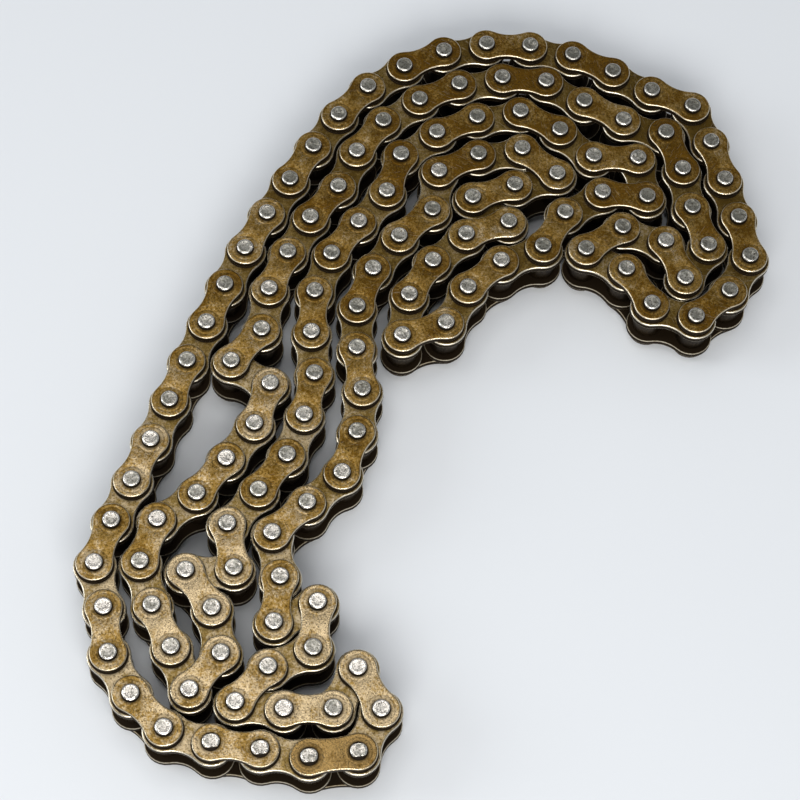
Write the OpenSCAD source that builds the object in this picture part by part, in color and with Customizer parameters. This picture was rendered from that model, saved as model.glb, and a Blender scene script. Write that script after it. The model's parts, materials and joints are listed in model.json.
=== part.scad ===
// Motorcycle drive chain: an endless bush roller chain of 128 links, laid on its side in close folds.
// Origin: middle of the folded chain, on the surface that the pin ends stand on. +Z is up.
// Odd links are outer links, even links are inner links, and link 1 is the connecting link.

/* [Chain size] */
// Distance between neighbouring pins
pitch = 12.7; // [12.6:0.05:12.8]
// Gap between the two plates of an inner link, where the sprocket tooth goes
inner_width = 7.9; // [7.7:0.1:8.1]
// Diameter of a roller
roller_d = 8.5; // [8.3:0.1:8.7]
// Diameter of a bush
bush_d = 6; // [5.8:0.1:6.2]
// Diameter of a pin
pin_d = 4.4; // [4.3:0.05:4.45]

/* [Plates] */
// Thickness of every plate
plate_t = 2; // [1.8:0.1:2.2]
// Height of an inner plate at its round ends
inner_plate_h = 11.7; // [11.3:0.1:11.7]
// Height of an outer plate at its round ends
outer_plate_h = 10; // [9.8:0.1:11]
// Height of a plate at its waist, as a share of its height at the ends
waist_share = 0.75; // [0.72:0.01:0.8]
// The same share for the two plates of the connecting link
connecting_waist_share = 0.86; // [0.82:0.01:0.88]

/* [Fits] */
// Gap round a pin in its bush, and round a bush in its roller
running_gap = 0.05; // [0.03:0.01:0.08]
// Gap beside an inner link, between it and each outer plate
side_gap = 0.2; // [0.1:0.05:0.3]
// Gap between each end of a roller and the inner plate beside it
roller_end_gap = 0.1; // [0.05:0.05:0.2]

/* [Rivets] */
// How far a pin end stands above its outer plate
pin_stand = 1.2; // [1:0.05:1.4]
// Diameter of a riveted pin head
head_d = 4.5; // [4.5:0.05:4.8]
// Width across the two flats of a connecting pin's head
head_flats = 3.4; // [3:0.1:3.8]

/* [Folds] */
// Gap that plate ends of neighbouring runs keep from each other
run_gap = 0.3; // [0.3:0.05:0.4]
// Gap that a plate end keeps from the waist of a plate in the next run
waist_gap = 0.4; // [0.4:0.05:0.5]

/* [Hidden] */
$fn = 48;
links = 128;
// Links that hang free past the connecting link's two pins, each with its own pivot
free_inner = [2, 116, 118, 120, 122, 124, 126, 128];
free_outer = [3, 115, 117, 119, 121, 123, 125, 127];
connecting = 1;
free = concat(free_inner, free_outer, [connecting]);
laid_inner = [for (k = [2:2:links]) if (len(search(k, free)) == 0) k];
laid_outer = [for (k = [1:2:links]) if (len(search(k, free)) == 0) k];

// Levels, measured from the middle of the chain's width
inner_face = inner_width / 2;
inner_back = inner_face + plate_t;
outer_face = inner_back + side_gap;
outer_back = outer_face + plate_t;
pin_end = outer_back + pin_stand;
bush_bore = pin_d + 2 * running_gap;
roller_bore = bush_d + 2 * running_gap;
head_bevel = 0.3;

// Route of the folds at a pitch of 12.7, from the first pin of link 1: [x, y, links to the next point]
route = [
    [-31, -107, 1], [-19, -106, 1], [-13, -95, 1], [-21, -84, 1], [-26, -97, 1], [-38, -95, 1],
    [-51, -93, 1], [-43, -84, 1], [-31, -79, 1], [-30, -66, 1], [-42, -72, 1], [-40, -59, 1],
    [-43, -47, 2], [-24, -29, 2], [-19, -4, 2], [-21, 21, 2], [-9, 43, 1], [1, 52, 1],
    [3, 65, 2], [26, 73, 1], [36, 64, 2], [12, 56, 1], [22, 48, 1], [10, 44, 2],
    [-6, 25, 1], [-8, 12, 1], [4, 16, 1], [10, 28, 1], [19, 36, 1], [32, 41, 1],
    [38, 51, 1], [49, 58, 1], [61, 57, 1], [59, 69, 1], [46, 70, 2], [26, 85, 3],
    [-8, 70, 1], [-12, 58, 2], [-28, 37, 2], [-33, 13, 1], [-32, 0, 2], [-39, -24, 2],
    [-54, -44, 1], [-53, -57, 1], [-65, -58, 1], [-58, -68, 1], [-54, -81, 1], [-63, -91, 1],
    [-68, -79, 2], [-77, -55, 1], [-73, -43, 1], [-63, -36, 2], [-48, -15, 1], [-44, -3, 1],
    [-55, 4, 1], [-47, 13, 1], [-45, 26, 2], [-34, 49, 1], [-26, 59, 2], [-14, 81, 3],
    [21, 96, 3], [56, 82, 1], [68, 78, 2], [74, 54, 1], [78, 42, 1], [71, 31, 1],
    [66, 42, 1], [55, 47, 1], [44, 40, 1], [54, 34, 1], [61, 23, 1], [73, 19, 2],
    [90, 38, 1], [87, 50, 3], [76, 87, 1], [64, 92, 2], [42, 104, 2], [17, 107, 3],
    [-18, 92, 5], [-52, 39, 2], [-62, 15, 5], [-85, -44, 1], [-89, -55, 1], [-86, -68, 1],
    [-85, -80, 2], [-69, -101, 3],
];
route_scale = pitch / 12.7;

function after(i) = (i + 1) % links;
function before(i) = (i + links - 1) % links;
function steps_between(i, j) = min(abs(i - j), links - abs(i - j));
function total(list) = [for (item = list) 1] * list;

// A smooth curve through the route's points gives every pin a first place
function knot(i) = route[(i + len(route)) % len(route)];
function place(i) = [knot(i).x, knot(i).y] * route_scale;
function slope(i) = (place(i + 1) - place(i - 1)) / (knot(i).z + knot(i - 1).z);
function on_curve(i, n, u) =
    place(i) * (2 * u ^ 3 - 3 * u ^ 2 + 1) + slope(i) * n * (u ^ 3 - 2 * u ^ 2 + u)
    + place(i + 1) * (3 * u ^ 2 - 2 * u ^ 3) + slope(i + 1) * n * (u ^ 3 - u ^ 2);
first_places = [
    for (i = [0:len(route) - 1]) let (n = route[i].z)
        for (s = [0:n - 1]) on_curve(i, n, s / n)
];

// Then the chain settles: each pass draws every link to its pitch and holds neighbouring runs apart
pin_room = inner_plate_h + run_gap;
waist_room = inner_plate_h * (1 + waist_share) / 2 + waist_gap;
neighbour_reach = 17;
settle_passes = 160;
settle_step = 0.9;
settle_carry = 0.6;
near_pins = [
    for (i = [0:links - 1]) [
        for (j = [0:links - 1])
            if (steps_between(i, j) > 1 && norm(first_places[i] - first_places[j]) < neighbour_reach) j
    ]
];
function is_near(i, j) = len(search(j, near_pins[i])) > 0;
near_links = [
    for (i = [0:links - 1]) [
        for (j = [0:links - 1])
            if (steps_between(i, j) > 1 && steps_between(i, after(j)) > 1)
                if (is_near(i, j) || is_near(i, after(j))) j
    ]
];
pins_beside = [for (j = [0:links - 1]) [for (i = [0:links - 1]) if (len(search(j, near_links[i])) > 0) i]];

function draw_in(a, b) = let (d = b - a) d * (1 - pitch / norm(d)) / 2;
function hold_off(a, b, room) = let (d = a - b, gap = norm(d)) gap < room ? d * (room / gap - 1) / 2 : [0, 0];
function shift(p, middle, i) = total(concat(
    [draw_in(p[i], p[after(i)]), draw_in(p[i], p[before(i)])],
    [for (j = near_pins[i]) hold_off(p[i], p[j], pin_room)],
    [for (j = near_links[i]) hold_off(p[i], middle[j], waist_room)],
    [for (m = [i, before(i)]) for (j = pins_beside[m]) hold_off(middle[m], p[j], waist_room) / 2]
));
function one_pass(p) =
    let (middle = [for (i = [0:links - 1]) (p[i] + p[after(i)]) / 2])
    [for (i = [0:links - 1]) p[i] + settle_step * shift(p, middle, i)];
function settle(p, last, passes) =
    passes == 0 ? p : settle(one_pass(p) + settle_carry * (p - last), p, passes - 1);

settled = settle(first_places, first_places, settle_passes);

// The folds are turned until link 1 lies along X, and centred on the origin
tilt = let (d = settled[1] - settled[0]) atan2(d.y, d.x);
turned = [for (p = settled) [p.x * cos(tilt) + p.y * sin(tilt), p.y * cos(tilt) - p.x * sin(tilt)]];
xs = [for (p = turned) p.x];
ys = [for (p = turned) p.y];
centre = [max(xs) + min(xs), max(ys) + min(ys)] / 2;
pins = [for (p = turned) p - centre];

// The first pin of link k, the middle of the link, and the way that it points
function first_pin(k) = pins[(k - 1) % links];
function middle_of(k) = (first_pin(k) + first_pin(k + 1)) / 2;
function heading(k) = let (d = first_pin(k + 1) - first_pin(k)) atan2(d.y, d.x);
function name(k, piece) = str("link_", k, "_", piece);

// Places its children on link k, with the chain's middle at their z = 0
module on_link(k) {
    translate([middle_of(k).x, middle_of(k).y, pin_end])
        rotate([0, 0, heading(k)])
            children();
}

// A figure-eight plate on its lower face: round ends, a waist cut by two large cylinders, two holes.
// The cylinders are cut_share larger than ones that just touch the ends, and the web ends inside both.
module plate(height, waist, hole_d) {
    end_r = height / 2;
    waist_half = end_r * waist;
    cut_share = 1.03;
    cut_r = cut_share * ((pitch / 2) ^ 2 + waist_half ^ 2 - end_r ^ 2) / (2 * (end_r - waist_half));
    cut_y = waist_half + cut_r;
    apart = norm([pitch / 2, cut_y]);
    from_end = (apart + end_r - cut_r) / 2;
    web_x = pitch * (1 - from_end / apart);
    web_y = 2 * cut_y * from_end / apart;
    difference() {
        union() {
            for (x = [-pitch / 2, pitch / 2])
                translate([x, 0, 0]) cylinder(d = height, h = plate_t);
            translate([-web_x / 2, -web_y / 2, 0]) cube([web_x, web_y, plate_t]);
        }
        for (y = [-cut_y, cut_y])
            translate([0, y, -plate_t]) cylinder(r = cut_r, h = 3 * plate_t, $fn = 96);
        for (x = [-pitch / 2, pitch / 2])
            translate([x, 0, -plate_t]) cylinder(d = hole_d, h = 3 * plate_t);
    }
}

module outer_plate(waist = waist_share) {
    color("darkgoldenrod") plate(outer_plate_h, waist, pin_d);
}

module inner_plate() {
    color("tan") plate(inner_plate_h, waist_share, bush_d);
}

// A riveted pin on its lower end, wider where its heads are formed
module pin() {
    length = 2 * pin_end;
    color("silver")
        rotate_extrude()
            polygon([
                [0, 0],
                [head_d / 2 - head_bevel, 0],
                [head_d / 2, head_bevel],
                [head_d / 2, pin_stand],
                [pin_d / 2, pin_stand],
                [pin_d / 2, length - pin_stand],
                [head_d / 2, length - pin_stand],
                [head_d / 2, length - head_bevel],
                [head_d / 2 - head_bevel, length],
                [0, length],
            ]);
}

// A connecting pin on its lower end, with two flats on its upper end
module connecting_pin_body() {
    length = 2 * pin_end;
    color("silver")
        difference() {
            cylinder(d = pin_d, h = length);
            for (y = [-pin_d - head_flats / 2, head_flats / 2])
                translate([-pin_d, y, length - pin_stand]) cube([2 * pin_d, pin_d, 2 * pin_stand]);
        }
}

module bush() {
    color("dimgray")
        translate([0, 0, -inner_back])
            difference() {
                cylinder(d = bush_d, h = 2 * inner_back);
                translate([0, 0, -plate_t]) cylinder(d = bush_bore, h = 2 * inner_back + 2 * plate_t);
            }
}

module roller() {
    length = inner_width - 2 * roller_end_gap;
    color("dimgray")
        translate([0, 0, -length / 2])
            difference() {
                cylinder(d = roller_d, h = length);
                translate([0, 0, -plate_t]) cylinder(d = roller_bore, h = length + 2 * plate_t);
            }
}

module outer_plates(k, levels) {
    on_link(k)
        for (z = levels)
            translate([0, 0, z]) outer_plate();
}

module inner_plates(k, levels) {
    on_link(k)
        for (z = levels)
            translate([0, 0, z]) inner_plate();
}

module at_link_ends(k, ends = [-1, 1]) {
    on_link(k)
        for (end = ends)
            translate([end * pitch / 2, 0, 0]) children();
}

module link_pins(k) {
    at_link_ends(k) translate([0, 0, -pin_end]) pin();
}

// The connecting link: a plate that carries the pins below, a cover plate pressed on above
module connecting_plate(level) {
    on_link(connecting) translate([0, 0, level]) outer_plate(connecting_waist_share);
}

module connecting_pin() {
    at_link_ends(connecting, [1]) translate([0, 0, -pin_end]) connecting_pin_body();
}

// The pivot that is left open keeps only the two ends of its pin, so that link 128 can swing away
module open_pivot_pin_ends() {
    at_link_ends(connecting, [-1])
        difference() {
            translate([0, 0, -pin_end]) connecting_pin_body();
            translate([0, 0, -outer_face]) cylinder(d = 2 * pin_d, h = 2 * outer_face);
        }
}

top_outer = outer_face;
bottom_outer = -outer_back;
top_inner = inner_face;
bottom_inner = -inner_back;

// The laid part of the chain, piece kind by piece kind
for (k = laid_outer) outer_plates(k, [top_outer]);  // laid_outer_plates_top
for (k = laid_outer) outer_plates(k, [bottom_outer]);  // laid_outer_plates_bottom
for (k = laid_inner) inner_plates(k, [top_inner]);  // laid_inner_plates_top
for (k = laid_inner) inner_plates(k, [bottom_inner]);  // laid_inner_plates_bottom
for (k = laid_outer) link_pins(k);  // laid_pins
for (k = laid_inner) at_link_ends(k) bush();  // laid_bushes
for (k = laid_inner) at_link_ends(k) roller();  // laid_rollers

// The connecting link
connecting_plate(top_outer);  // connecting_cover_plate
connecting_plate(bottom_outer);  // connecting_pin_plate
connecting_pin();
open_pivot_pin_ends();

// The free links on both sides of it
for (k = free_outer) {
    outer_plates(k, [bottom_outer, top_outer]);
    link_pins(k);
}
for (k = free_inner) {
    inner_plates(k, [bottom_inner, top_inner]);
    at_link_ends(k) bush();
    at_link_ends(k, [-1]) roller();
    at_link_ends(k, [1]) roller();
}
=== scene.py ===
# %% [markdown]
# # A motorcycle drive chain, laid on its side in folds
#
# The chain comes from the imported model, the frame, which already has every plate, pin, bush and
# roller at its real size and in its real place. Blender's part is how they look: the rounded edges
# that a press leaves, the hammered pin ends, and the brown tint that the heat treatment gives.
#
# Each CAD node is replaced by one finished piece that stands in the same place and moves with the
# same body, so every joint of the chain still works.

import json
import math
import random

import bmesh
import bpy
import numpy as np
from mathutils import Matrix, Vector, noise

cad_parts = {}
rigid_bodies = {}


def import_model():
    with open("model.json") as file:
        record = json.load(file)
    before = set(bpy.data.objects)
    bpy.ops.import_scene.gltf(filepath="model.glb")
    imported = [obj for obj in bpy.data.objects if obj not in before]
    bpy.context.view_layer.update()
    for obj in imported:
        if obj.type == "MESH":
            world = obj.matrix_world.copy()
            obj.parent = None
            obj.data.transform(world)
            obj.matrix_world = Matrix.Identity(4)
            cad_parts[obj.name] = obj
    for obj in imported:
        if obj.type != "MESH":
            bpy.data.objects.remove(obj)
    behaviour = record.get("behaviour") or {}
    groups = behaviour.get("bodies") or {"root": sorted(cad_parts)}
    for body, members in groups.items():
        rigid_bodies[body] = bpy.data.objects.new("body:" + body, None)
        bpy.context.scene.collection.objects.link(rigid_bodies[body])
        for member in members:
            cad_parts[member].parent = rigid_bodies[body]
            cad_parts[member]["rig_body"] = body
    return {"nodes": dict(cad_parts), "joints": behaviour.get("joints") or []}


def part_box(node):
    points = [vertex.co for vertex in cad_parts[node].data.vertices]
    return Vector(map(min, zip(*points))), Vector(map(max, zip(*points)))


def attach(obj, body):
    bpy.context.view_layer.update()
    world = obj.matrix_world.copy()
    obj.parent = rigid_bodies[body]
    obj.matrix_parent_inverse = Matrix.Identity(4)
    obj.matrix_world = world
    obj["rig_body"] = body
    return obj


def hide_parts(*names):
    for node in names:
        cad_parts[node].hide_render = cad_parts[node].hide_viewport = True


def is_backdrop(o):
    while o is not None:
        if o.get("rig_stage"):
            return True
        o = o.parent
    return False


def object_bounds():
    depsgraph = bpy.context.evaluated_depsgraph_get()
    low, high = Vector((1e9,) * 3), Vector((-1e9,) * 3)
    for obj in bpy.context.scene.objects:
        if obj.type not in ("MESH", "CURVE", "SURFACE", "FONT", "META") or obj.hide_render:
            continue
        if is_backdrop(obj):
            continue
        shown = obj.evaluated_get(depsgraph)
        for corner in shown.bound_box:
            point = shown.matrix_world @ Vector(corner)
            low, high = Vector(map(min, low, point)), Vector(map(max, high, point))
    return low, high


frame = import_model()
cad_low, cad_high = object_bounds()
MM = 0.001
print("chain box in mm:", [round(s / MM, 1) for s in cad_high - cad_low])

# %% [markdown]
# ## Sizes
#
# Nothing is typed in twice: the levels come from the boxes of the CAD nodes, and the radii from
# nodes that lie along X. Link 1, the connecting link, does, so its box is as long as one pitch
# and one plate end on each side. For a link at an angle, the two places of its pins say how much
# of its box is pitch, and what is left is the size of its round ends.

# %% Sizes of the chain
pivots = {joint["name"]: Vector(joint["pos_m"]) for joint in frame["joints"]}
PITCH = (pivots["pivot_3"] - pivots["pivot_2"]).length


def size_of(node):
    low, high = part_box(node)
    return high - low


def round_size(node, first, second):
    """Diameter of the round ends of a node that spans two pivots."""
    return size_of(node).x - abs((pivots[second] - pivots[first]).x)


OUTER_R = size_of("connecting_cover_plate").y / 2
INNER_R = round_size("link_2_inner_plates", "pivot_2", "pivot_1") / 2
HEAD_R = round_size("link_3_pins", "pivot_3", "pivot_2") / 2
BUSH_R = round_size("link_2_bushes", "pivot_2", "pivot_1") / 2
PIN_R = size_of("connecting_pin").x / 2
ROLLER_R = size_of("link_2_roller_1").x / 2
ROLLER_L = size_of("link_2_roller_1").z
BUSH_L = size_of("link_2_bushes").z
PLATE_T = size_of("laid_outer_plates_top").z
PIN_L = size_of("laid_pins").z
MIDDLE = PIN_L / 2
STAND = PIN_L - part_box("laid_outer_plates_top")[1].z
FIT = 0.05 * MM
MERGE = FIT / 50
print("pitch", round(PITCH / MM, 2), "outer r", round(OUTER_R / MM, 2), "inner r", round(INNER_R / MM, 2))
print("head r", round(HEAD_R / MM, 2), "bush r", round(BUSH_R / MM, 2), "plate", round(PLATE_T / MM, 2))

# %% [markdown]
# ## Where the links lie
#
# A laid node holds dozens of plates in one mesh. Each plate is an island of that mesh, and its two
# holes are the places of its pins. The long direction of the island's points gives the holes
# roughly, and the mean of the points round each hole then gives them exactly. A copy of the mesh is
# merged first, because a CAD node's triangles are loose.

# %% Find the pin places of every link
LAID_OUTER = "laid_outer_plates_top"
LAID_INNER = "laid_inner_plates_top"
HOLE_SHARE = 1.15
LOOSE_MERGE = FIT / 10


def islands(node):
    """The points of each separate solid in a node, in millimetres."""
    bm = bmesh.new()
    bm.from_mesh(frame["nodes"][node].data)
    bmesh.ops.remove_doubles(bm, verts=bm.verts[:], dist=LOOSE_MERGE)
    found = []
    for start in bm.verts:
        if start.tag:
            continue
        start.tag = True
        group = [start]
        for vert in group:
            for edge in vert.link_edges:
                other = edge.other_vert(vert)
                if not other.tag:
                    other.tag = True
                    group.append(other)
        found.append(np.array([vert.co for vert in group]) / MM)
    bm.free()
    return found


def spans(node, hole_r):
    """The two pin places of each link in a node of plates, taken from its upper plates."""
    found = []
    for points in islands(node):
        if points[:, 2].mean() < MIDDLE / MM:
            continue
        flat = points[:, :2]
        centre = flat.mean(0)
        along = np.linalg.svd(flat - centre, full_matrices=False)[2][0]
        ends = []
        for side in (-1, 1):
            guess = centre + side * along * PITCH / MM / 2
            near = np.hypot(*(flat - guess).T) < hole_r / MM * HOLE_SHARE
            ends.append(Vector(flat[near].mean(0)) * MM)
        found.append(sorted(ends, key=lambda end: (round(end.x / MM, 2), end.y)))
    return found


def numbers_of(kind):
    """The numbers of the free links that have a node of this kind."""
    named = [node for node in frame["nodes"] if node.startswith("link_") and node.endswith(kind)]
    return sorted(int(node.split("_")[1]) for node in named)


outer_spans = {"laid": spans(LAID_OUTER, PIN_R)}
inner_spans = {"laid": spans(LAID_INNER, BUSH_R)}
for k in numbers_of("outer_plates"):
    outer_spans[f"link_{k}"] = spans(f"link_{k}_outer_plates", PIN_R)
for k in numbers_of("inner_plates"):
    inner_spans[f"link_{k}"] = spans(f"link_{k}_inner_plates", BUSH_R)
connecting_span = spans("connecting_cover_plate", PIN_R)
every_span = [span for held in (outer_spans, inner_spans) for links in held.values() for span in links]
lengths = [(second - first).length / MM for first, second in every_span + connecting_span]
print(len(lengths), "links, pitch from", round(min(lengths), 3), "to", round(max(lengths), 3))

# %% [markdown]
# ## The outline of a plate
#
# A chain plate is a figure eight: two round ends, and a waist between them that two large arcs cut.
# The arcs touch, so the edge runs smoothly from one into the other. Half the outline is enough,
# because the other half is its mirror image.
#
# The half plate is drawn as spokes round its pin. Spoke after spoke meets the round end, then the
# waist, and last the line where the plate is mirrored. Every ring of the plate, from the hole to
# the edge, has one point on each spoke, so all faces are four-sided and the rounded edge
# follows the outline evenly.

# %% Spokes of half a plate
END_STEPS = 9
WAIST_STEPS = 4
MIDDLE_STEPS = 3
WAIST_SHARE = 0.75
CONNECTING_WAIST_SHARE = 0.86


class Outline:
    """Half of a figure-eight plate: the pin is at +X, and the plate's middle is at X = 0."""

    def __init__(self, end_r, waist_h):
        self.pin_x = PITCH / 2
        self.end_r = end_r
        self.waist_h = waist_h
        self.cut_r = (self.pin_x**2 + waist_h**2 - end_r**2) / (2 * (end_r - waist_h))
        self.touch = math.atan2(waist_h + self.cut_r, -self.pin_x)

    def quarter(self, inset):
        """Points from the plate's tip round to its middle line, moved in by inset."""
        points = []
        for step in range(END_STEPS + 1):
            turn = self.touch * step / END_STEPS
            reach = self.end_r - inset
            points.append((self.pin_x + reach * math.cos(turn), reach * math.sin(turn)))
        for step in range(1, WAIST_STEPS + 1):
            left = (self.touch - math.pi / 2) * (1 - step / WAIST_STEPS)
            reach = self.cut_r + inset
            points.append((reach * math.sin(left), self.waist_h + self.cut_r - reach * math.cos(left)))
        top = points[-1][1]
        for step in range(1, MIDDLE_STEPS + 1):
            points.append((0, top * (1 - step / (MIDDLE_STEPS + 0.5))))
        return points

    def rim(self, inset):
        upper = self.quarter(inset)
        return upper + [(x, -y) for x, y in reversed(upper[1:])]

    def ring(self, radius):
        """Points round the pin, on the spokes of the outline."""
        turns = [math.atan2(y, x - self.pin_x) for x, y in self.rim(0)]
        return [(self.pin_x + radius * math.cos(turn), radius * math.sin(turn)) for turn in turns]


outer_outline = Outline(OUTER_R, WAIST_SHARE * OUTER_R)
inner_outline = Outline(INNER_R, WAIST_SHARE * INNER_R)
connecting_outline = Outline(OUTER_R, CONNECTING_WAIST_SHARE * OUTER_R)
print("spokes round each pin:", len(outer_outline.rim(0)))
print("waist arc in mm:", round(outer_outline.cut_r / MM, 1))

# %% [markdown]
# ## From rings to a plate
#
# A plate could be cut from a slab with booleans, but those leave long thin triangles that shade
# badly on a polished edge. Here one circle round the pin is extruded ring by ring: up the hole, over
# the face, round the edge and back under. The half plate is then mirrored on its middle line.
#
# Each ring also says how worn the metal is there, and how much oil and painted shade it has. The two
# numbers are kept as attributes of the mesh, and the materials read them: an edge is rubbed bright,
# and the side wall of a pressed plate, its inner face and its holes are painted black, partly as oil and
# partly as the shade that falls there.

# %% Meshes that carry wear, oil and painted shade
WORN = "worn"
# oil, and painted shade in the holes, on the side walls and on the faces turned inwards
OIL_AND_SHADE = "oil_and_shade"
SPOKE = "spoke"


def start_mesh():
    bm = bmesh.new()
    for name in (WORN, OIL_AND_SHADE):
        bm.verts.layers.float.new(name)
    bm.verts.layers.int.new(SPOKE)
    return bm


def set_ring(bm, verts, points, z, worn, oil_and_shade):
    spoke = bm.verts.layers.int[SPOKE]
    for vert in verts:
        x, y = points[vert[spoke]]
        vert.co = (x, y, z)
        vert[bm.verts.layers.float[WORN]] = worn
        vert[bm.verts.layers.float[OIL_AND_SHADE]] = oil_and_shade


def end_mesh(bm, name):
    bmesh.ops.remove_doubles(bm, verts=bm.verts[:], dist=MERGE)
    bmesh.ops.recalc_face_normals(bm, faces=bm.faces[:])
    mesh = bpy.data.meshes.new(name)
    bm.to_mesh(mesh)
    bm.free()
    return mesh


print("each point carries", WORN, "and", OIL_AND_SHADE, "and, on a plate, the number of its", SPOKE)


# %% Extrude a plate from its rings
def plate_mesh(name, outline, rings):
    """A plate from (points, z, worn, grime) for each ring, from the foot of the hole outwards and back."""
    bm = start_mesh()
    count = len(outline.rim(0))
    bmesh.ops.create_circle(bm, cap_ends=False, segments=count, radius=outline.end_r)
    around = sorted(bm.verts, key=lambda v: math.atan2(v.co.y, v.co.x) % (2 * math.pi))
    for number, vert in enumerate(around):
        vert[bm.verts.layers.int[SPOKE]] = number
    edges = bm.edges[:]
    set_ring(bm, bm.verts[:], *rings[0])
    for ring in rings[1:] + rings[:1]:
        made = bmesh.ops.extrude_edge_only(bm, edges=edges)["geom"]
        edges = [item for item in made if isinstance(item, bmesh.types.BMEdge)]
        set_ring(bm, [item for item in made if isinstance(item, bmesh.types.BMVert)], *ring)
    inside = [face for face in bm.faces if all(abs(vert.co.x) < MERGE for vert in face.verts)]
    bmesh.ops.delete(bm, geom=inside, context="FACES")
    bmesh.ops.remove_doubles(bm, verts=bm.verts[:], dist=MERGE)
    bmesh.ops.mirror(bm, geom=bm.verts[:] + bm.edges[:] + bm.faces[:], axis="X", merge_dist=MERGE)
    return end_mesh(bm, name)


print("rings of", len(outer_outline.rim(0)), "points, merged within mm:", MERGE / MM)

# %% [markdown]
# ## The section of each kind of plate
#
# The two lists below are what a cut through the plate would show, from the foot of the hole over the
# face to the edge and back underneath. A press leaves a rounded upper edge and a sharper lower one. The
# outer plate also has a shallow groove pressed round each pin, and painted shade under the edge of
# each pin head. The inner plate has a painted shadow where the outer plate's end lies over it. The side
# walls and inner faces of both are painted black, partly as oil and partly as painted shade.
#
# Each ring gives its distance from the hole's axis, or its inset from the edge, then its level, how
# worn it is and how much oil and painted shade it has.


# %% Rings of the outer and inner plates, and the three plates
def outer_rings(outline):
    ring, rim, top = outline.ring, outline.rim, PLATE_T
    return [
        # the hole and the sunk ring under the pin head's edge are painted dark: painted shade
        (ring(PIN_R), 0, 0, 1),
        (ring(PIN_R), top - 0.12 * MM, 0, 1),
        (ring(HEAD_R + 0.18 * MM), top - 0.12 * MM, 0, 1),
        (ring(HEAD_R + 0.38 * MM), top, 0.15, 0.35),
        (ring(HEAD_R + 1.25 * MM), top, 0, 0),
        (ring(HEAD_R + 1.42 * MM), top - 0.045 * MM, 0, 0.3),
        (ring(HEAD_R + 1.62 * MM), top - 0.005 * MM, 0.4, 0),
        (rim(0.5 * MM), top, 0.05, 0),
        (rim(0.25 * MM), top - 0.03 * MM, 0.45, 0),
        (rim(0.07 * MM), top - 0.16 * MM, 1, 0),
        (rim(0), top - 0.3 * MM, 0.6, 0.3),
        # the side wall, and after it the inner face, are painted black: painted shade, with some oil
        (rim(0), top - 0.4 * MM, 0, 1),
        (rim(0), 0.3 * MM, 0, 1),
        (rim(0.03 * MM), 0.12 * MM, 0.8, 0.3),
        (rim(0.15 * MM), 0, 0.6, 0.4),
        (rim(0.35 * MM), 0, 0, 1),
    ]


def inner_rings(outline):
    ring, rim, top = outline.ring, outline.rim, PLATE_T
    return [
        # the hole wall is painted dark: painted shade
        (ring(BUSH_R), 0, 0, 1),
        (ring(BUSH_R), top, 0, 1),
        # painted shadow where the outer plate's end lies over the inner plate
        (ring(OUTER_R + 0.18 * MM), top, 0, 1),
        (ring(OUTER_R + 0.38 * MM), top, 0, 0.15),
        (rim(0.45 * MM), top, 0.1, 0),
        (rim(0.25 * MM), top - 0.03 * MM, 0.6, 0),
        (rim(0.07 * MM), top - 0.16 * MM, 1, 0),
        (rim(0), top - 0.34 * MM, 0.6, 0.2),
        # the side wall and the inner face are painted black: painted shade, with some oil
        (rim(0), top - 0.46 * MM, 0, 1),
        (rim(0), 0.32 * MM, 0, 1),
        (rim(0.03 * MM), 0.12 * MM, 0.8, 0.2),
        (rim(0.15 * MM), 0, 0.6, 0.4),
        (rim(0.35 * MM), 0, 0, 1),
    ]


outer_plate = plate_mesh("outer_plate", outer_outline, outer_rings(outer_outline))
inner_plate = plate_mesh("inner_plate", inner_outline, inner_rings(inner_outline))
connecting_plate = plate_mesh("connecting_plate", connecting_outline, outer_rings(connecting_outline))
for made in (outer_plate, inner_plate, connecting_plate):
    top = max(vert.co.z for vert in made.vertices)
    print(made.name, len(made.polygons), "faces, thickness in mm:", round(top / MM, 2))

# %% [markdown]
# ## Pins, bushes and rollers
#
# These are turned parts: a lathe makes them, and so does the spin operator. A few points make the
# profile from the axis outwards, and spin carries it once round.

# %% Spin a profile
TURN_STEPS = 24


def turned(profile, closed=False):
    """A bmesh turned round Z from (radius, height, worn, grime) points."""
    bm = start_mesh()
    verts = []
    for radius, height, worn, oil_and_shade in profile:
        vert = bm.verts.new((radius, 0, height))
        vert[bm.verts.layers.float[WORN]] = worn
        vert[bm.verts.layers.float[OIL_AND_SHADE]] = oil_and_shade
        verts.append(vert)
    pairs = list(zip(verts, verts[1:] + verts[:1])) if closed else list(zip(verts, verts[1:]))
    edges = [bm.edges.new(pair) for pair in pairs]
    bmesh.ops.spin(
        bm,
        geom=verts + edges,
        cent=(0, 0, 0),
        axis=(0, 0, 1),
        angle=2 * math.pi,
        steps=TURN_STEPS,
        use_merge=True,
    )
    bmesh.ops.remove_doubles(bm, verts=bm.verts[:], dist=MERGE)
    return bm


print("steps in a full turn:", TURN_STEPS)

# %% [markdown]
# ## The profile of a pin
#
# A riveted pin is a plain rod whose two ends are spread over the outer plates. Its end face is a
# little dished inside a rim that shines, and the side of the head is painted dark as shade. At the
# open pivot each of the two short ends stops with its plate's inner face, and has a plain broken edge
# there.

# %% Draw a pin from end to end
CUT_EDGE = 0.15 * MM


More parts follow.
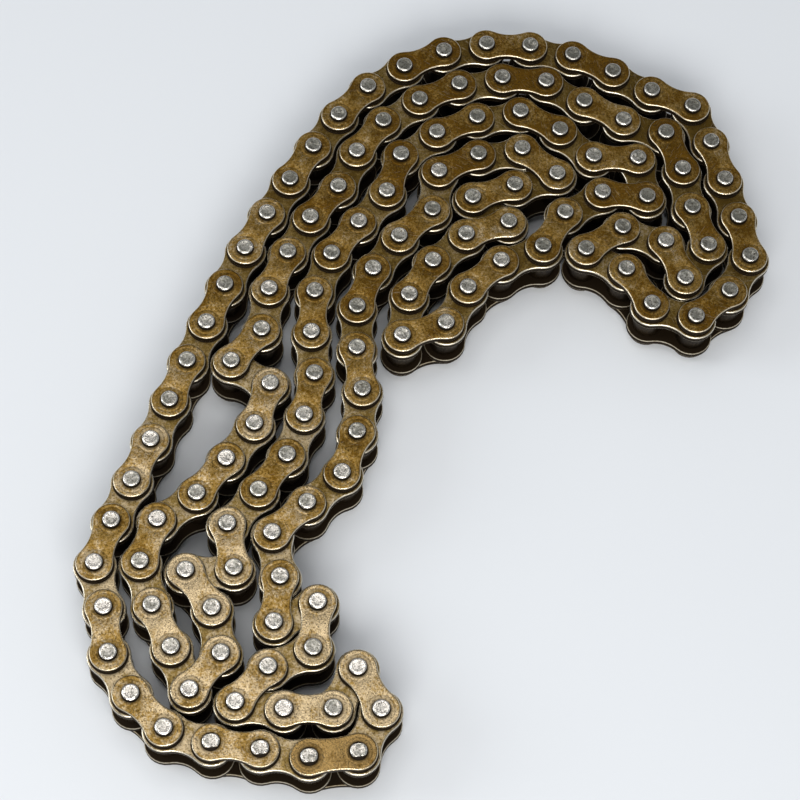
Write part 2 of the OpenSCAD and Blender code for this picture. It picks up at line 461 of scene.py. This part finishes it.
def head_profile(shank_r, head_r):
    """One end of a pin, from the middle of its face out to its shank. Height counts from the plate up."""
    return [
        (0, STAND - 0.13 * MM, 0, 0.25),
        (0.4 * head_r, STAND - 0.11 * MM, 0.1, 0.2),
        (0.66 * head_r, STAND - 0.04 * MM, 0.3, 0.1),
        (0.8 * head_r, STAND, 0.6, 0),
        (0.92 * head_r, STAND - 0.07 * MM, 0.85, 0),
        (head_r, STAND - 0.25 * MM, 0.7, 0.1),
        # the side of the head is painted dark: painted shade under the head's rim
        (head_r, STAND - 0.42 * MM, 0, 0.85),
        (head_r, 0.15 * MM, 0, 1),
        (0.985 * head_r, 0, 0, 1),
        (shank_r, -0.02 * MM, 0, 1),
    ]


def pin_profile(low, high, head_r):
    """A pin's profile between two levels: each end that reaches its full height gets a head."""
    top_plate = MIDDLE - STAND
    head = head_profile(PIN_R, head_r)
    cut_r = PIN_R - CUT_EDGE
    points = []
    if high >= MIDDLE - FIT:
        points += [(radius, top_plate + z, worn, oil_and_shade) for radius, z, worn, oil_and_shade in head]
    else:
        points += [(0, high, 0, 0.5), (cut_r, high, 0.5, 0.2), (PIN_R, high - CUT_EDGE, 0.3, 0.5)]
    if low <= FIT - MIDDLE:
        points += [(radius, -top_plate - z, worn, oil_and_shade) for radius, z, worn, oil_and_shade in reversed(head)]
    else:
        points += [(PIN_R, low + CUT_EDGE, 0.3, 0.5), (cut_r, low, 0.5, 0.2), (0, low, 0, 0.5)]
    return points


print("points in a riveted pin's profile:", len(pin_profile(-MIDDLE, MIDDLE, HEAD_R)))

# %% [markdown]
# ## Hammered and flattened heads
#
# Riveting leaves the faces uneven. Noise moves the points of the dish, and five different pins are
# enough, because each one also stands at its own turn. Some pins have two flats on the upper end:
# their points are simply held between two planes.

# %% Dent the heads and cut the flats
PIN_KINDS = 5
DISH_SHARE = 0.75
DENT_DEPTH = 0.2 * MM
DENT_SIZE = 0.9 * MM
SEED_STEP = 9.1
FLAT_Y = 1.7 * MM
FLAT_FOOT = MIDDLE - STAND + 0.1 * MM


def hammer(bm, seed, head_r):
    """Dents the two end faces of a pin, which keep within its length."""
    for vert in bm.verts:
        radius = math.hypot(vert.co.x, vert.co.y)
        if abs(vert.co.z) > MIDDLE - STAND / 2 and radius < DISH_SHARE * head_r:
            place = vert.co / DENT_SIZE + Vector((seed * SEED_STEP, 0, 0))
            dented = abs(vert.co.z) + DENT_DEPTH * noise.noise(place)
            vert.co.z = math.copysign(min(dented, MIDDLE), vert.co.z)


def flatten(bm):
    """Cuts two flats on the upper end of a pin."""
    for vert in bm.verts:
        if vert.co.z > FLAT_FOOT:
            vert.co.y = max(-FLAT_Y, min(FLAT_Y, vert.co.y))


def pin_mesh(name, seed, low=-MIDDLE, high=MIDDLE, head_r=HEAD_R, flats=False):
    bm = turned(pin_profile(low, high, head_r))
    hammer(bm, seed, head_r)
    if flats:
        flatten(bm)
    return end_mesh(bm, name)


OPEN_HALF = MIDDLE - STAND - PLATE_T
rivet_pins = [pin_mesh(f"rivet_pin_{seed}", seed) for seed in range(PIN_KINDS)]
connecting_pin = pin_mesh("connecting_pin", 11, head_r=PIN_R, flats=True)
flat_headed_pins = [pin_mesh(f"flat_headed_pin_{seed}", seed, flats=True) for seed in (14, 15)]
upper_end = pin_mesh("upper_pin_end", 12, low=OPEN_HALF, head_r=PIN_R, flats=True)
lower_end = pin_mesh("lower_pin_end", 13, high=-OPEN_HALF, head_r=PIN_R)
print("a riveted pin has", len(rivet_pins[0].polygons), "faces")

# %% [markdown]
# ## Bushes and rollers
#
# Each pin turns in a bush, and a loose roller runs on the bush. Both are plain tubes, so a closed
# profile of eight points, spun once round, is a whole tube with its four edges broken.

# %% Turn the bush and the roller
BUSH_EDGE = 0.12 * MM
ROLLER_EDGE = 0.3 * MM


def tube_mesh(name, outside, inside, length, break_edge):
    """A bush or roller: a tube whose four edges are broken."""
    half = length / 2
    # the ends and the bore are painted dark by the oil and shade mask: oil, and painted shade between the
    # plates
    profile = [
        (outside, half - break_edge, 0.25, 0.2),
        (outside, -half + break_edge, 0.25, 0.2),
        (outside - break_edge, -half, 0.6, 0.5),
        (inside + break_edge, -half, 0.3, 0.6),
        (inside, -half + break_edge, 0, 1),
        (inside, half - break_edge, 0, 1),
        (inside + break_edge, half, 0.3, 0.6),
        (outside - break_edge, half, 0.6, 0.5),
    ]
    return end_mesh(turned(profile, closed=True), name)


bush = tube_mesh("bush", BUSH_R, PIN_R + FIT, BUSH_L, BUSH_EDGE)
roller = tube_mesh("roller", ROLLER_R, BUSH_R + FIT, ROLLER_L, ROLLER_EDGE)
print("a bush has", len(bush.polygons), "faces, a roller", len(roller.polygons))

# %% [markdown]
# ## Shared shader groups
#
# All the steel finishes share three effects, so each effect is a node group that is built once:
#
# - the patchy tint that hardened steel takes, from straw to brown, with dark specks, which differs
#   from plate to plate, and which each part's tone lifts, partly at random and partly as painted light
#   towards the near left;
# - the rubbed edge, where the tint is gone and bare steel shines;
# - the rolled grain of sheet steel, fine lines along the plate with some small dents.
#
# The groups read a place on the part itself, in millimetres, kept in an attribute. Each part adds its
# own shift to it, so two plates never have the same patches, and the grain turns with its plate.

# %% Helpers for node trees
def add(tree, kind, inputs=None, **settings):
    """A node with its settings and inputs: a value is set, and an output socket is linked."""
    made = tree.nodes.new(kind)
    for name, value in settings.items():
        setattr(made, name, value)
    for name, value in (inputs or {}).items():
        if isinstance(value, bpy.types.NodeSocket):
            tree.links.new(value, made.inputs[name])
        else:
            made.inputs[name].default_value = value
    return made


def group(name, inputs, outputs):
    """A new group with its sockets. Returns the tree, the sockets to read and the sockets to feed."""
    tree = bpy.data.node_groups.new(name, "ShaderNodeTree")
    for title, kind in inputs:
        tree.interface.new_socket(name=title, in_out="INPUT", socket_type=f"NodeSocket{kind}")
    for title, kind in outputs:
        tree.interface.new_socket(name=title, in_out="OUTPUT", socket_type=f"NodeSocket{kind}")
    return tree, tree.nodes.new("NodeGroupInput").outputs, tree.nodes.new("NodeGroupOutput").inputs


def calc(tree, operation, first, second, clamp=False):
    inputs = {0: first, 1: second}
    return add(tree, "ShaderNodeMath", inputs, operation=operation, use_clamp=clamp).outputs[0]


def fade(tree, value, low, high):
    """0 below low, 1 above high, and a smooth change between."""
    inputs = {"Value": value, "From Min": low, "From Max": high}
    return add(tree, "ShaderNodeMapRange", inputs, interpolation_type="SMOOTHSTEP").outputs["Result"]


def blend_colour(tree, share, first, second):
    made = add(tree, "ShaderNodeMix", data_type="RGBA")
    for socket, value in ((made.inputs[0], share), (made.inputs[6], first), (made.inputs[7], second)):
        if isinstance(value, bpy.types.NodeSocket):
            tree.links.new(value, socket)
        else:
            socket.default_value = value
    return made.outputs[2]


def noise_over(tree, place, scale, detail, roughness):
    """Noise from 0 to 1 at a place in millimetres. A larger scale gives finer noise."""
    inputs = {"Vector": place, "Scale": scale, "Detail": detail, "Roughness": roughness}
    return add(tree, "ShaderNodeTexNoise", inputs).outputs["Fac"]


def stretched(tree, place, factors):
    """The place multiplied on each axis, so that noise runs in lines along the axis with the least."""
    return add(tree, "ShaderNodeVectorMath", {0: place, 1: factors}, operation="MULTIPLY").outputs[0]


print("node groups before the first is built:", len(bpy.data.node_groups))

# %% Group one: the patchy tint
SOOT = (0.05, 0.032, 0.012, 1.0)
SPECK_STRENGTH = 0.8


def build_patchy_tint():
    inputs = [("Place", "Vector"), ("Tone and light", "Float")]
    inputs += [("Dark", "Color"), ("Middle", "Color"), ("Light", "Color")]
    tree, given, wanted = group("patchy_tint", inputs, [("Color", "Color"), ("Patches", "Float")])
    place = given["Place"]
    broad = calc(tree, "MULTIPLY", noise_over(tree, place, 0.17, 3.0, 0.6), 0.8)
    fine = calc(tree, "MULTIPLY", noise_over(tree, place, 1.3, 4.0, 0.7), 0.9)
    patches = calc(tree, "SUBTRACT", calc(tree, "ADD", broad, fine), 0.35)
    # the tone lifts the patches: partly a random tone, partly painted light towards the near left
    lift = calc(tree, "MULTIPLY", calc(tree, "SUBTRACT", given["Tone and light"], 0.5), 0.55)
    patches = calc(tree, "ADD", patches, lift, clamp=True)
    lower = blend_colour(tree, fade(tree, patches, 0.3, 0.52), given["Dark"], given["Middle"])
    whole = blend_colour(tree, fade(tree, patches, 0.5, 0.72), lower, given["Light"])
    speck = fade(tree, noise_over(tree, place, 2.4, 3.0, 0.6), 0.5, 0.66)
    specks = calc(tree, "MULTIPLY", speck, SPECK_STRENGTH)
    tree.links.new(blend_colour(tree, specks, whole, SOOT), wanted["Color"])
    tree.links.new(patches, wanted["Patches"])
    return tree


patchy_tint = build_patchy_tint()
print(patchy_tint.name, "has", len(patchy_tint.nodes), "nodes")


# %% Group two: the rubbed edge
def build_rubbed_edge():
    inputs = [("Place", "Vector"), ("Worn", "Float"), ("Amount", "Float")]
    tree, given, wanted = group("rubbed_edge", inputs, [("Mask", "Float")])
    spots = noise_over(tree, given["Place"], 1.9, 4.0, 0.65)
    uneven = calc(tree, "MULTIPLY", calc(tree, "SUBTRACT", spots, 0.5), 0.7)
    missing = calc(tree, "SUBTRACT", given["Amount"], 1.0)
    reach = calc(tree, "ADD", calc(tree, "ADD", given["Worn"], uneven), missing)
    tree.links.new(fade(tree, reach, 0.3, 0.7), wanted["Mask"])
    return tree


rubbed_edge = build_rubbed_edge()
print(rubbed_edge.name, "has", len(rubbed_edge.nodes), "nodes")

# %% Group three: the rolled grain
SCRATCH_TURN = 0.9
SCRATCH_STRETCH = (0.25, 5.0, 1.0)


def build_rolled_grain():
    inputs = [("Place", "Vector"), ("Stretch", "Vector")]
    tree, given, wanted = group("rolled_grain", inputs, [("Height", "Float"), ("Scratches", "Float")])
    place = given["Place"]
    lines = noise_over(tree, stretched(tree, place, given["Stretch"]), 1.0, 5.0, 0.75)
    turn = {"Vector": place, "Angle": SCRATCH_TURN}
    across = add(tree, "ShaderNodeVectorRotate", turn, rotation_type="Z_AXIS").outputs[0]
    cuts = noise_over(tree, stretched(tree, across, SCRATCH_STRETCH), 1.0, 2.0, 0.5)
    scratches = fade(tree, cuts, 0.64, 0.7)
    dents = noise_over(tree, place, 2.6, 2.0, 0.5)
    height = calc(tree, "ADD", calc(tree, "MULTIPLY", lines, 0.5), calc(tree, "MULTIPLY", dents, 0.9))
    height = calc(tree, "SUBTRACT", height, calc(tree, "MULTIPLY", scratches, 0.35))
    tree.links.new(height, wanted["Height"])
    tree.links.new(scratches, wanted["Scratches"])
    return tree


rolled_grain = build_rolled_grain()
print(rolled_grain.name, "has", len(rolled_grain.nodes), "nodes")

# %% [markdown]
# ## The finishes
#
# All five are steel, so one function makes them and takes what differs: the three tints, the bare
# metal under them, how far the edges are rubbed, how rough the face is and which way its grain runs.
# The Principled shader stays in each material. The oil and shade mask paints oil with dust in it,
# and painted shade: dark brown, dull and hardly metallic.

# %% A function for any of the steels
TONE_AND_LIGHT = "tone_and_light"
PLACE = "place"
SCRATCH_SHINE = 0.18
EDGE_POLISH = 0.08
PATCH_GLOSS = 0.3
OIL_AND_SHADE_COVER = 0.85
OIL_AND_SHADE_DULL = 0.35
GRAIN_DEPTH = 0.09 * MM


def colour(red, green, blue):
    return (red, green, blue, 1.0)


OIL_AND_SHADE_BROWN = colour(0.013, 0.007, 0.002)
OIL_GLOSS = 0.15


def steel(name, dark, middle, light, bare, rubbed, rough, stretch, bump):
    material = bpy.data.materials.new(name)
    material.use_nodes = True
    tree = material.node_tree
    shader = tree.nodes["Principled BSDF"]
    shader.inputs["Specular IOR Level"].default_value = OIL_GLOSS
    kept = (PLACE, TONE_AND_LIGHT, WORN, OIL_AND_SHADE)
    read = {name: add(tree, "ShaderNodeAttribute", attribute_name=name) for name in kept}
    place = read[PLACE].outputs["Vector"]
    tone_and_light, worn, oil_and_shade = (read[name].outputs["Fac"] for name in (TONE_AND_LIGHT, WORN, OIL_AND_SHADE))
    tint = add(tree, "ShaderNodeGroup", node_tree=patchy_tint)
    edge = add(tree, "ShaderNodeGroup", node_tree=rubbed_edge)
    grain = add(tree, "ShaderNodeGroup", node_tree=rolled_grain)
    for made in (tint, edge, grain):
        tree.links.new(place, made.inputs["Place"])
    tree.links.new(tone_and_light, tint.inputs["Tone and light"])
    tree.links.new(worn, edge.inputs["Worn"])
    for title, value in (("Dark", dark), ("Middle", middle), ("Light", light)):
        tint.inputs[title].default_value = value
    edge.inputs["Amount"].default_value = rubbed
    grain.inputs["Stretch"].default_value = stretch
    cut = calc(tree, "MULTIPLY", grain.outputs["Scratches"], SCRATCH_SHINE)
    shiny = calc(tree, "MAXIMUM", edge.outputs["Mask"], cut)
    face = blend_colour(tree, shiny, tint.outputs["Color"], bare)
    # oil and painted shade: the mask turns the colour dark brown
    tree.links.new(blend_colour(tree, oil_and_shade, face, OIL_AND_SHADE_BROWN), shader.inputs["Base Color"])
    covered = calc(tree, "MULTIPLY", oil_and_shade, OIL_AND_SHADE_COVER)
    tree.links.new(calc(tree, "SUBTRACT", 1.0, covered), shader.inputs["Metallic"])
    darker = calc(tree, "SUBTRACT", 0.5, tint.outputs["Patches"])
    level = calc(tree, "ADD", rough, calc(tree, "MULTIPLY", darker, PATCH_GLOSS))
    level = calc(tree, "SUBTRACT", level, calc(tree, "MULTIPLY", edge.outputs["Mask"], EDGE_POLISH))
    level = calc(tree, "ADD", level, calc(tree, "MULTIPLY", oil_and_shade, OIL_AND_SHADE_DULL), clamp=True)
    tree.links.new(level, shader.inputs["Roughness"])
    relief = {"Height": grain.outputs["Height"], "Strength": bump, "Distance": GRAIN_DEPTH}
    tree.links.new(add(tree, "ShaderNodeBump", relief).outputs["Normal"], shader.inputs["Normal"])
    return material


print("gloss of oil on steel:", OIL_GLOSS)

# %% Make the five materials
ALONG_PLATE = (0.6, 4.0, 1.0)
ALL_WAYS = (2.2, 2.2, 2.2)
AROUND = (0.4, 0.4, 3.0)
finishes = {
    "outer_plate": steel(
        "heat_tinted_outer_plate",
        dark=colour(0.15, 0.075, 0.008),
        middle=colour(0.315, 0.195, 0.05),
        light=colour(0.51, 0.395, 0.235),
        bare=colour(0.88, 0.77, 0.57),
        rubbed=0.9,
        rough=0.34,
        stretch=ALONG_PLATE,
        bump=0.9,
    ),
    "inner_plate": steel(
        "heat_tinted_inner_plate",
        dark=colour(0.125, 0.075, 0.014),
        middle=colour(0.245, 0.165, 0.05),
        light=colour(0.41, 0.325, 0.20),
        bare=colour(0.90, 0.82, 0.66),
        rubbed=0.9,
        rough=0.36,
        stretch=ALONG_PLATE,
        bump=0.5,
    ),
    "connecting_plate": steel(
        "heat_tinted_connecting_plate",
        dark=colour(0.09, 0.045, 0.006),
        middle=colour(0.165, 0.09, 0.018),
        light=colour(0.28, 0.18, 0.065),
        bare=colour(0.85, 0.72, 0.50),
        rubbed=0.9,
        rough=0.34,
        stretch=ALONG_PLATE,
        bump=0.9,
    ),
    "pin": steel(
        "hammered_pin_steel",
        dark=colour(0.24, 0.235, 0.20),
        middle=colour(0.46, 0.445, 0.39),
        light=colour(0.86, 0.81, 0.74),
        bare=colour(0.95, 0.91, 0.84),
        rubbed=0.75,
        rough=0.25,
        stretch=ALL_WAYS,
        bump=1.0,
    ),
    # near black: partly oiled steel, partly painted shade, since the bushes and rollers lie in the shade
    # between the plates
    "bush_and_roller": steel(
        "oiled_and_shaded_roller_steel",
        dark=colour(0.012, 0.007, 0.003),
        middle=colour(0.032, 0.02, 0.009),
        light=colour(0.07, 0.046, 0.024),
        bare=colour(0.22, 0.20, 0.17),
        rubbed=0.5,
        rough=0.28,
        stretch=AROUND,
        bump=0.25,
    ),
}
print("finishes:", [material.name for material in finishes.values()])

# %% [markdown]
# ## Put every piece in its place
#
# Each part was made once, with its own middle at the origin. Here it is copied to every place that
# the frame gives: a plate is turned to its link's heading, a lower plate is first turned over so that
# its face looks down, and a pin gets a turn of its own. All copies of a node join into one object,
# whose place is in its mesh, as the frame asks.
#
# The attributes are written at the end, for all copies at once, because each copy has the same
# points in the same order. All the chance in the script comes from one seeded generator, so every
# run gives the same chain.

# %% Places for the copies
CHANCE_SEED = 428
TOP, BOTTOM = 1, -1
draw = random.Random(CHANCE_SEED)


def plate_places(links, level, side):
    """One matrix for each link: level is the face that the plate turns to the chain's middle."""
    places = []
    for first, second in links:
        step = second - first
        middle = (first + second) / 2
        over = Matrix.Rotation(math.pi, 4, "X") if side == BOTTOM else Matrix.Identity(4)
        heading = Matrix.Rotation(math.atan2(step.y, step.x), 4, "Z")
        places.append(Matrix.Translation((middle.x, middle.y, level)) @ heading @ over)
    return places


def round_places(points, turned_freely=True):
    places = []
    for point in points:
        turn = draw.uniform(0, 2 * math.pi) if turned_freely else 0
        places.append(Matrix.Translation((point.x, point.y, MIDDLE)) @ Matrix.Rotation(turn, 4, "Z"))
    return places


print("places for the upper laid plates:", len(plate_places(outer_spans["laid"], MIDDLE, TOP)))

# %% Join the copies of a part
SHARP_ANGLE = math.radians(38)
PAINTED_LIGHT_SHARE = 0.66
CHANCE_SHARE = 0.34
PATTERN_SHIFT = 200


def write_attribute(mesh, name, kind, values):
    key = "value" if kind == "FLOAT" else "vector"
    mesh.attributes.new(name, kind, "POINT").data.foreach_set(key, np.asarray(values, np.float32).ravel())


def tint_and_painted_light_at(place):
    """How light a part's tint is, from 0 to 1: painted light that makes it lighter towards the near left,
    and a random tone.
    """
    across = cad_high - cad_low
    # painted light: the tint is made lighter towards the near left, where the overhead light is reflected
    painted_light_near_left = 0.5 - 0.8 * place.translation.y / across.y - 0.3 * place.translation.x / across.x
    return PAINTED_LIGHT_SHARE * painted_light_near_left + CHANCE_SHARE * draw.random()


def copy_parts(name, parts, places):
    """One mesh that holds parts[i] at places[i]."""
    bm = bmesh.new()
    tones = []
    local = []
    for part, place in zip(parts, places):
        copy = part.copy()
        copy.transform(place)
        bm.from_mesh(copy)
        bpy.data.meshes.remove(copy)
        points = np.array([vert.co for vert in part.vertices]) / MM
        shift = [draw.uniform(-PATTERN_SHIFT, PATTERN_SHIFT) for _ in range(3)]
        tones.append(np.full(len(points), tint_and_painted_light_at(place)))
        local.append(points + shift)
    mesh = bpy.data.meshes.new(name)
    bm.to_mesh(mesh)
    bm.free()
    write_attribute(mesh, TONE_AND_LIGHT, "FLOAT", np.concatenate(tones))
    write_attribute(mesh, PLACE, "FLOAT_VECTOR", np.concatenate(local))
    mesh.attributes.remove(mesh.attributes[SPOKE])
    mesh.shade_smooth()
    mesh.set_sharp_from_angle(angle=SHARP_ANGLE)
    return mesh


print("patterns are shifted by up to mm:", PATTERN_SHIFT)

# %% Finish one node of the frame
made_faces = {}


def finish_node(node, parts, places, slot):
    """The finished piece for a CAD node, on the same body."""
    mesh = copy_parts(f"finished_{node}", parts, places)
    mesh.materials.append(finishes[slot])
    piece = bpy.data.objects.new(f"finished_{node}", mesh)
    bpy.context.scene.collection.objects.link(piece)
    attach(piece, frame["nodes"][node]["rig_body"])
    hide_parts(node)
    made_faces[node] = len(mesh.polygons)


print("nodes to finish:", len(frame["nodes"]))


# %% Plates of the laid part and of the connecting link
def plate_level(node):
    """The level of the face that a node's plates turn to the chain's middle, and their side."""
    low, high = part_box(node)
    return (low.z, TOP) if (low.z + high.z) / 2 > MIDDLE else (high.z, BOTTOM)


def finish_plates(node, links, part, slot):
    places = plate_places(links, *plate_level(node))
    finish_node(node, [part] * len(places), places, slot)


for side in ("top", "bottom"):
    finish_plates(f"laid_outer_plates_{side}", outer_spans["laid"], outer_plate, "outer_plate")
    finish_plates(f"laid_inner_plates_{side}", inner_spans["laid"], inner_plate, "inner_plate")
for node in ("connecting_cover_plate", "connecting_pin_plate"):
    finish_plates(node, connecting_span, connecting_plate, "connecting_plate")
print("faces:", made_faces)


# %% Pins, bushes and rollers of the laid part
def ends_of(links):
    return [end for link in links for end in link]


def finish_round(node, points, parts, slot, turned_freely=True):
    places = round_places(points, turned_freely)
    finish_node(node, [parts[i % len(parts)] for i in range(len(points))], places, slot)


finish_round("laid_pins", ends_of(outer_spans["laid"]), rivet_pins, "pin")
finish_round("laid_bushes", ends_of(inner_spans["laid"]), [bush], "bush_and_roller")
finish_round("laid_rollers", ends_of(inner_spans["laid"]), [roller], "bush_and_roller")
print("pins in the laid part:", 2 * len(outer_spans["laid"]))

# %% [markdown]
# ## The connecting link and the free links
#
# The connecting link closes the loop. Its pins aren't spread over the plates: their upper ends have
# two flats instead. One of them is left out between the plates, so that the chain can be opened
# there. The flats lie along the link, so these pins keep the link's heading, which is X.
#
# The free links are made in the same way as the laid ones, one node at a time, because each of them
# turns on its own joint, and so does each of their rollers. The riveted pins of link 127, which is
# the second link before the connecting link, have flats on their heads too.

# %% Pins of the connecting link
open_end = pivots["pivot_1"] - Vector((PITCH, 0, 0))
whole_place = round_places([pivots["pivot_1"]], turned_freely=False)
finish_node("connecting_pin", [connecting_pin], whole_place, "pin")
open_places = round_places([open_end, open_end], turned_freely=False)
finish_node("open_pivot_pin_ends", [upper_end, lower_end], open_places, "pin")
print("open pivot at mm:", [round(value / MM, 1) for value in open_end])

# %% Free links
OUTER_LEVEL = plate_level(LAID_OUTER)[0] - MIDDLE
INNER_LEVEL = plate_level(LAID_INNER)[0] - MIDDLE
FLAT_HEADED = 127


def both_sides(links, level):
    return plate_places(links, MIDDLE + level, TOP) + plate_places(links, MIDDLE - level, BOTTOM)


for k in numbers_of("outer_plates"):
    links = outer_spans[f"link_{k}"]
    places = both_sides(links, OUTER_LEVEL)
    finish_node(f"link_{k}_outer_plates", [outer_plate] * 2, places, "outer_plate")
    has_flats = k == FLAT_HEADED
    pins = flat_headed_pins if has_flats else rivet_pins
    finish_round(f"link_{k}_pins", ends_of(links), pins, "pin", turned_freely=not has_flats)
for k in numbers_of("inner_plates"):
    links = inner_spans[f"link_{k}"]
    places = both_sides(links, INNER_LEVEL)
    finish_node(f"link_{k}_inner_plates", [inner_plate] * 2, places, "inner_plate")
    finish_round(f"link_{k}_bushes", ends_of(links), [bush], "bush_and_roller")
    for end in (1, 2):
        low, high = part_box(f"link_{k}_roller_{end}")
        finish_round(f"link_{k}_roller_{end}", [(low + high) / 2], [roller], "bush_and_roller")
print(len(made_faces), "of", len(frame["nodes"]), "nodes finished,", sum(made_faces.values()), "faces")

# %% [markdown]
# ## Floor, light and camera
#
# The chain lies on a pale floor under soft lights. Flat metal shows what it mirrors, so the lights
# are placed by the reflections that they make. The one overhead lights the near plates and fades
# towards the far ones. The window is low on the camera's side and draws the bright line along the
# near edge of every plate and pin. The one at the side lifts the left flanks, and a weak sky
# fills the rest.

# %% Floor
FLOOR_SIZE = 3.0
FLOOR_ROUGHNESS = 0.6
floor_mesh = bpy.data.meshes.new("floor")
bm = bmesh.new()
bmesh.ops.create_grid(bm, x_segments=1, y_segments=1, size=FLOOR_SIZE)
bm.to_mesh(floor_mesh)
bm.free()
floor_paper = bpy.data.materials.new("floor_paper")
floor_paper.use_nodes = True
paper = floor_paper.node_tree.nodes["Principled BSDF"]
paper.inputs["Base Color"].default_value = colour(0.775, 0.80, 0.83)
paper.inputs["Roughness"].default_value = FLOOR_ROUGHNESS
floor_mesh.materials.append(floor_paper)
floor = bpy.data.objects.new("floor", floor_mesh)
bpy.context.scene.collection.objects.link(floor)
floor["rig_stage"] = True
print("floor in m:", 2 * FLOOR_SIZE)

# %% Lights and sky
SKY_STRENGTH = 0.34


def soft_light(name, place, width, depth, power, tint):
    """A rectangular light that points at the middle of the chain."""
    data = bpy.data.lights.new(name, "AREA")
    data.shape = "RECTANGLE"
    data.size = width
    data.size_y = depth
    data.energy = power
    data.color = tint
    light = bpy.data.objects.new(name, data)
    light.location = place
    light.rotation_euler = (-Vector(place)).to_track_quat("-Z", "Y").to_euler()
    bpy.context.scene.collection.objects.link(light)
    print("light", name, "of", power, "W at m:", place)


soft_light("overhead", (-0.12, 0.1, 1.0), width=0.6, depth=0.6, power=2.4, tint=(1.0, 0.98, 0.95))
soft_light("window", (-0.1, -0.9, 0.85), width=0.9, depth=0.5, power=10, tint=(1.0, 0.99, 0.97))
soft_light("side", (-1.1, 0.2, 0.6), width=0.6, depth=0.6, power=4, tint=(0.93, 0.97, 1.0))
world = bpy.data.worlds.new("studio")
world.use_nodes = True
sky = world.node_tree.nodes["Background"]
sky.inputs["Color"].default_value = colour(0.91, 0.945, 1.0)
sky.inputs["Strength"].default_value = SKY_STRENGTH
bpy.context.scene.world = world
bpy.context.scene.view_settings.view_transform = "Standard"

# %% [markdown]
# ## Camera
#
# The chain is seen from above at a steep angle, from a little to the left, with a long lens from
# 0.7 m away, so near and far plates keep nearly the same size. The camera looks at a point
# just inside the chain, and is held with a small roll.

# %% Camera
CAMERA_AZIMUTH = math.radians(-10.04)
CAMERA_ELEVATION = math.radians(64.88)
CAMERA_ROLL = math.radians(3.44)
CAMERA_DISTANCE = 693.5 * MM
AIM_BELOW_PINS = 7.8 * MM
CAMERA_AIM = Vector((-8.1 * MM, -3.9 * MM, PIN_L - AIM_BELOW_PINS))
SENSOR_MM = 36
LENS_MM = 113.6

camera_data = bpy.data.cameras.new("camera")
camera_data.sensor_width = SENSOR_MM
camera_data.lens = LENS_MM
camera = bpy.data.objects.new("camera", camera_data)
bpy.context.scene.collection.objects.link(camera)
raised = Vector((0, -math.cos(CAMERA_ELEVATION), math.sin(CAMERA_ELEVATION)))
outward = Matrix.Rotation(CAMERA_AZIMUTH, 3, "Z") @ raised
turn = outward.to_track_quat("Z", "Y").to_matrix() @ Matrix.Rotation(CAMERA_ROLL, 3, "Z")
camera.matrix_world = Matrix.Translation(CAMERA_AIM + outward * CAMERA_DISTANCE) @ turn.to_4x4()
bpy.context.scene.camera = camera
print("camera at mm:", [round(value / MM) for value in camera.location])

# %% Measure and finish
low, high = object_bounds()
print("visual box in mm:", [round(s / MM, 1) for s in high - low])
